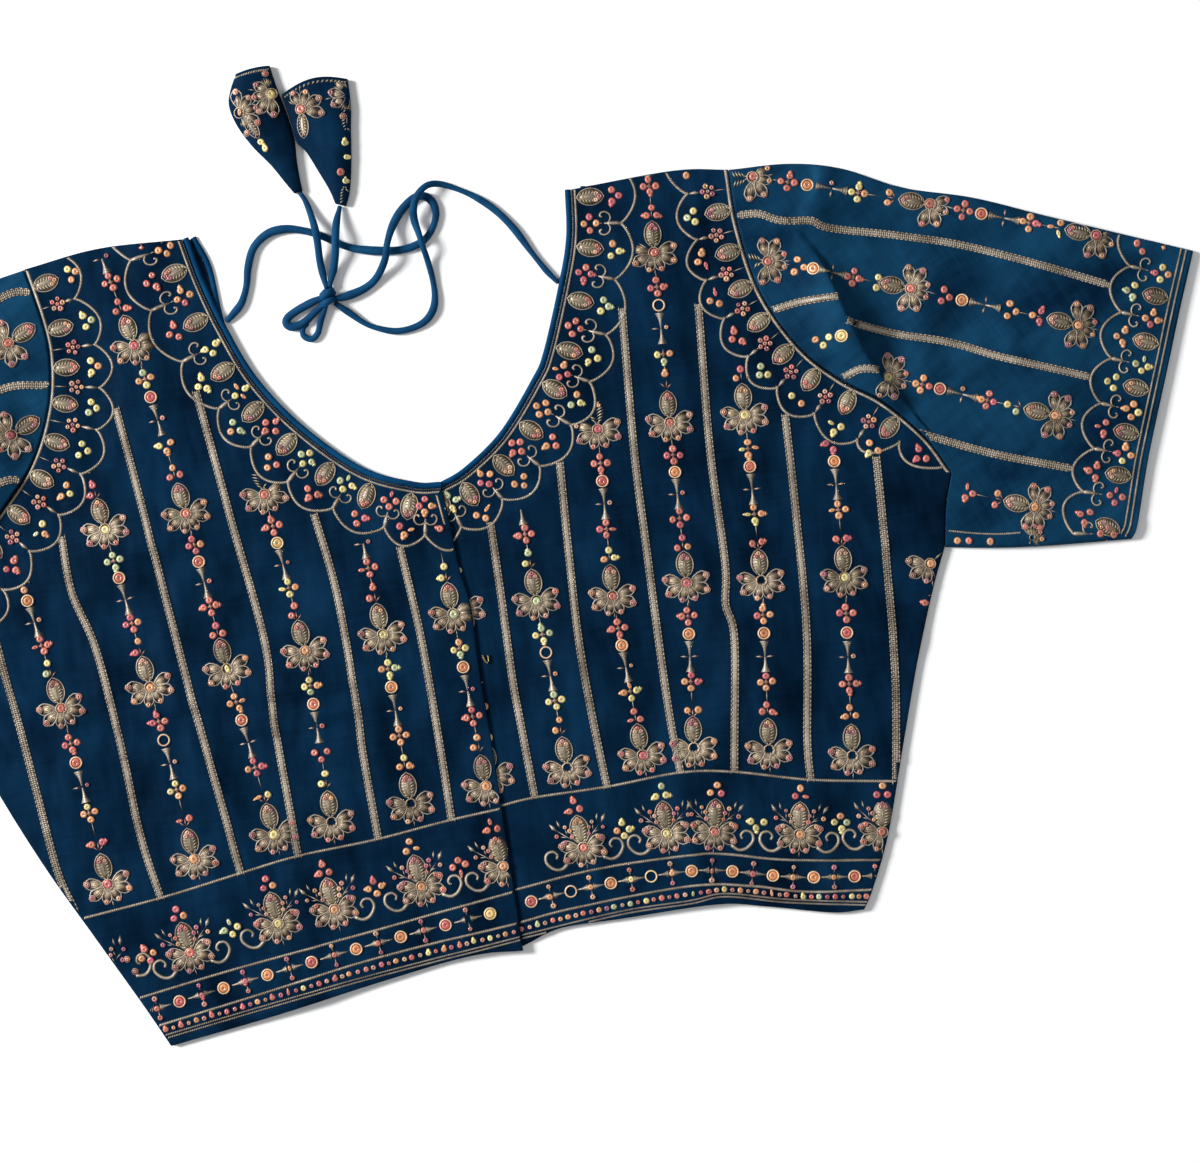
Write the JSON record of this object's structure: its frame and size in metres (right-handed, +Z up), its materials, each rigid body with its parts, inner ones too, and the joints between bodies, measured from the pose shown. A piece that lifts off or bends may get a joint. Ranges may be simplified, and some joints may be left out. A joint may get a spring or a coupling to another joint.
{
  "type": "choli blouse",
  "caption": "Fitted choli blouse laid flat, front up, with elbow sleeves, a lapped front and knotted back-neck ties ending in tassels.",
  "frame": {"origin": "on the surface the blouse lies on, at the centre front, halfway between the neck point and the hem", "axes": "+X across the blouse towards the wearer's left sleeve, +Y from the hem to the neck, +Z up from the surface"},
  "size_m": [0.807, 0.4722, 0.0081],
  "materials": {
    "cloth": "dark teal-navy cotton silk, soft sheen, slub weave, gold thread embroidery and sequins",
    "piping": "plain teal-blue satin binding, stitched",
    "tie": "teal-blue cloth tube, soft sheen",
    "tassel": "embroidered cotton silk cone",
    "hook": "small plated wire hook"
  },
  "bodies": {
    "root": {"back": "cloth", "front_over": "cloth", "front_under": "cloth", "sleeve_left": "cloth", "sleeve_right": "cloth", "piping_front_over": "piping", "piping_front_under": "piping", "piping_back": "piping", "string_left": "tie", "string_right": "tie", "tail_first": "tie", "tail_second": "tie", "bow_loop_first": "tie", "bow_loop_second": "tie", "knot": "tie", "tassel_first": "tassel", "tassel_second": "tassel", "hook": "hook"}
  },
  "joints": []
}
